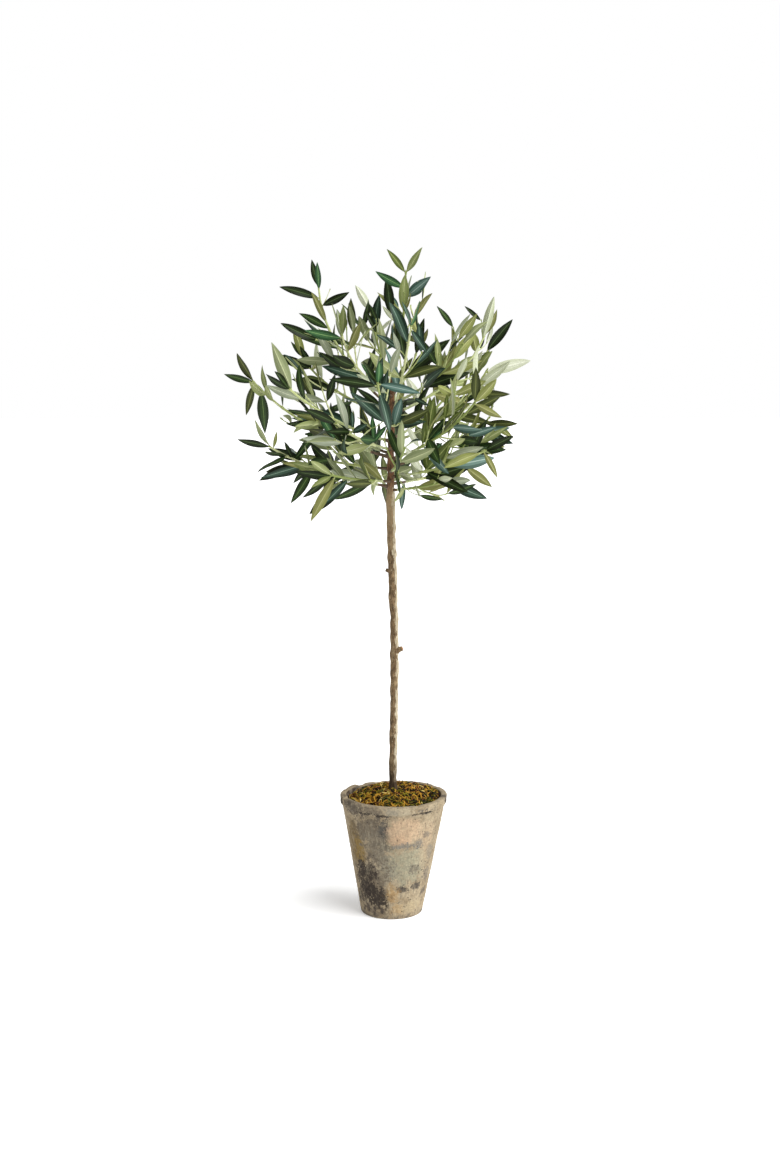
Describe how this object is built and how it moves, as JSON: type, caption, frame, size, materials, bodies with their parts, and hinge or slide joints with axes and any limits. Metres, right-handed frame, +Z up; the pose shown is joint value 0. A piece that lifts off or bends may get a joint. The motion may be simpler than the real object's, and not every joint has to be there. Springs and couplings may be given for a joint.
{
  "type": "artificial potted olive tree",
  "caption": "Artificial olive tree grown as a standard: a slim bare trunk under a round, open crown of narrow leaves, in a tapered aged clay pot topped with moss.",
  "frame": {"origin": "middle of the pot's flat underside", "axes": "+Z up along the trunk, +X to the right and -Y to the front of the reference view"},
  "size_m": [0.3292, 0.3545, 0.7619],
  "materials": {
    "pot": "aged unglazed clay, mottled",
    "filling": "dull, hidden under the moss",
    "moss": "matte fibres",
    "bark": "rough bark",
    "stem": "satin",
    "foliage": "waxy leaf, pale underside"
  },
  "bodies": {
    "root": {"pot": "pot", "pot_filling": "filling", "moss": "moss", "trunk": "bark", "bough_top": "stem", "foliage_top": "foliage", "bough_left_top": "stem", "foliage_left_top": "foliage", "bough_far_left": "stem", "foliage_far_left": "foliage", "bough_left_low": "stem", "foliage_left_low": "foliage", "bough_left_front": "stem", "foliage_left_front": "foliage", "bough_left_back_high": "stem", "foliage_left_back_high": "foliage", "bough_front_left_high": "stem", "foliage_front_left_high": "foliage", "bough_back_high": "stem", "foliage_back_high": "foliage", "bough_right_high": "stem", "foliage_right_high": "foliage", "bough_front_right_high": "stem", "foliage_front_right_high": "foliage", "bough_right_top": "stem", "foliage_right_top": "foliage", "bough_right_back_top": "stem", "foliage_right_back_top": "foliage", "bough_far_right": "stem", "foliage_far_right": "foliage", "bough_front_right": "stem", "foliage_front_right": "foliage", "bough_right": "stem", "foliage_right": "foliage", "bough_right_low": "stem", "foliage_right_low": "foliage", "bough_right_back_low": "stem", "foliage_right_back_low": "foliage", "bough_front_low": "stem", "foliage_front_low": "foliage", "bough_front": "stem", "foliage_front": "foliage", "bough_front_left": "stem", "foliage_front_left": "foliage", "bough_front_left_low": "stem", "foliage_front_left_low": "foliage", "bough_back": "stem", "foliage_back": "foliage", "bough_back_left": "stem", "foliage_back_left": "foliage", "bough_back_right": "stem", "foliage_back_right": "foliage", "bough_back_low": "stem", "foliage_back_low": "foliage", "bough_left_back_low": "stem", "foliage_left_back_low": "foliage", "bough_right_small": "stem", "foliage_right_small": "foliage"}
  },
  "joints": []
}
